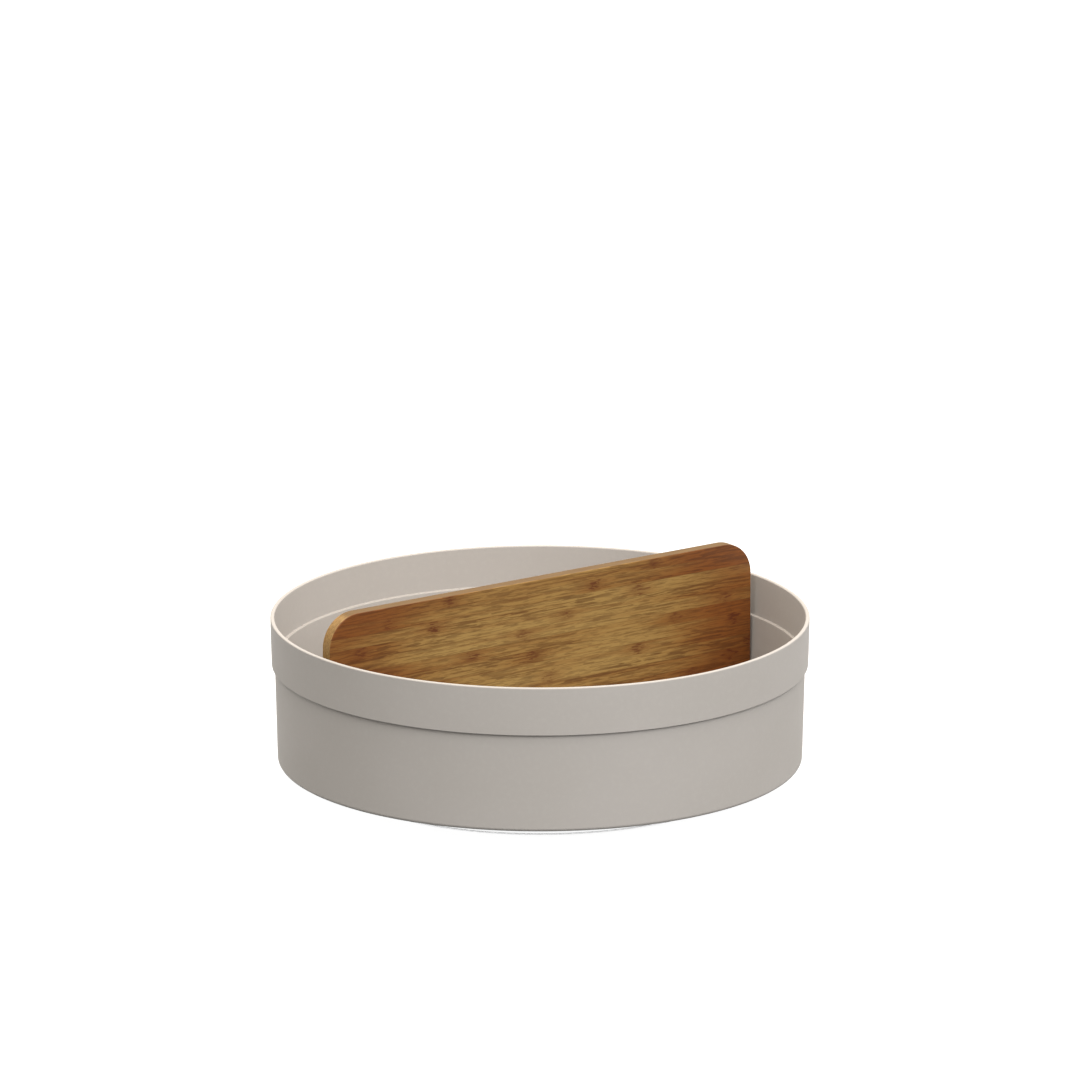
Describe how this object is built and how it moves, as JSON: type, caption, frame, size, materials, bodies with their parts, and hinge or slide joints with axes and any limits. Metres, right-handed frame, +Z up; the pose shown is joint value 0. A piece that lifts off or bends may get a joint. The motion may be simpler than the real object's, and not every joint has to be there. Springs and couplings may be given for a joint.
{
  "type": "lazy susan turntable",
  "caption": "Round turntable bin on a clear ring base with captive bearing balls, and a lift-out bamboo board that divides the bin in two.",
  "frame": {"origin": "centre of the base, on the surface that it stands on", "axes": "+Z up along the turning axis, +X along the divider board and one pair of base spokes, +Y across the board"},
  "size_m": [0.2799, 0.28, 0.107],
  "materials": {
    "clear_plastic": "clear moulded plastic, polished",
    "bin_plastic": "warm grey moulded plastic, fine matte",
    "bamboo": "laminated bamboo, satin sealed, grain along the board",
    "ball_plastic": "clear hard plastic ball, polished"
  },
  "bodies": {
    "base": {"turntable_base": "clear_plastic"},
    "pivot": {"pivot_bush": "clear_plastic"},
    "bin": {"storage_bin": "bin_plastic"},
    "divider": {"bamboo_divider": "bamboo"},
    "ball_1": {"bearing_ball_1": "ball_plastic"},
    "ball_2": {"bearing_ball_2": "ball_plastic"},
    "ball_3": {"bearing_ball_3": "ball_plastic"},
    "ball_4": {"bearing_ball_4": "ball_plastic"},
    "ball_5": {"bearing_ball_5": "ball_plastic"},
    "ball_6": {"bearing_ball_6": "ball_plastic"}
  },
  "joints": [
    {"name": "turntable_spin", "type": "hinge", "parent": "base", "child": "pivot", "pos_m": [0, 0, 0.0043], "axis": [0, 0, 1], "continuous": true},
    {"name": "bin_lift", "type": "slide", "parent": "pivot", "child": "bin", "axis": [0, 0, 1], "range_m": [0, 0.0568]},
    {"name": "divider_lift", "type": "slide", "parent": "bin", "child": "divider", "axis": [0, 0, 1], "range_m": [0, 0.1033]},
    {"name": "ball_1_spin", "type": "hinge", "parent": "base", "child": "ball_1", "pos_m": [0.08158, 0.0471, 0.0083], "axis": [0.866, 0.5, 0], "continuous": true},
    {"name": "ball_2_spin", "type": "hinge", "parent": "base", "child": "ball_2", "pos_m": [0, 0.0942, 0.0083], "axis": [0, 1, 0], "continuous": true},
    {"name": "ball_3_spin", "type": "hinge", "parent": "base", "child": "ball_3", "pos_m": [-0.08158, 0.0471, 0.0083], "axis": [-0.866, 0.5, 0], "continuous": true},
    {"name": "ball_4_spin", "type": "hinge", "parent": "base", "child": "ball_4", "pos_m": [-0.08158, -0.0471, 0.0083], "axis": [-0.866, -0.5, 0], "continuous": true},
    {"name": "ball_5_spin", "type": "hinge", "parent": "base", "child": "ball_5", "pos_m": [0, -0.0942, 0.0083], "axis": [0, -1, 0], "continuous": true},
    {"name": "ball_6_spin", "type": "hinge", "parent": "base", "child": "ball_6", "pos_m": [0.08158, -0.0471, 0.0083], "axis": [0.866, -0.5, 0], "continuous": true}
  ],
  "couplings": [
    {"joint": "ball_1_spin", "follows": "turntable_spin", "ratio": -26.914},
    {"joint": "ball_2_spin", "follows": "turntable_spin", "ratio": -26.914},
    {"joint": "ball_3_spin", "follows": "turntable_spin", "ratio": -26.914},
    {"joint": "ball_4_spin", "follows": "turntable_spin", "ratio": -26.914},
    {"joint": "ball_5_spin", "follows": "turntable_spin", "ratio": -26.914},
    {"joint": "ball_6_spin", "follows": "turntable_spin", "ratio": -26.914}
  ]
}
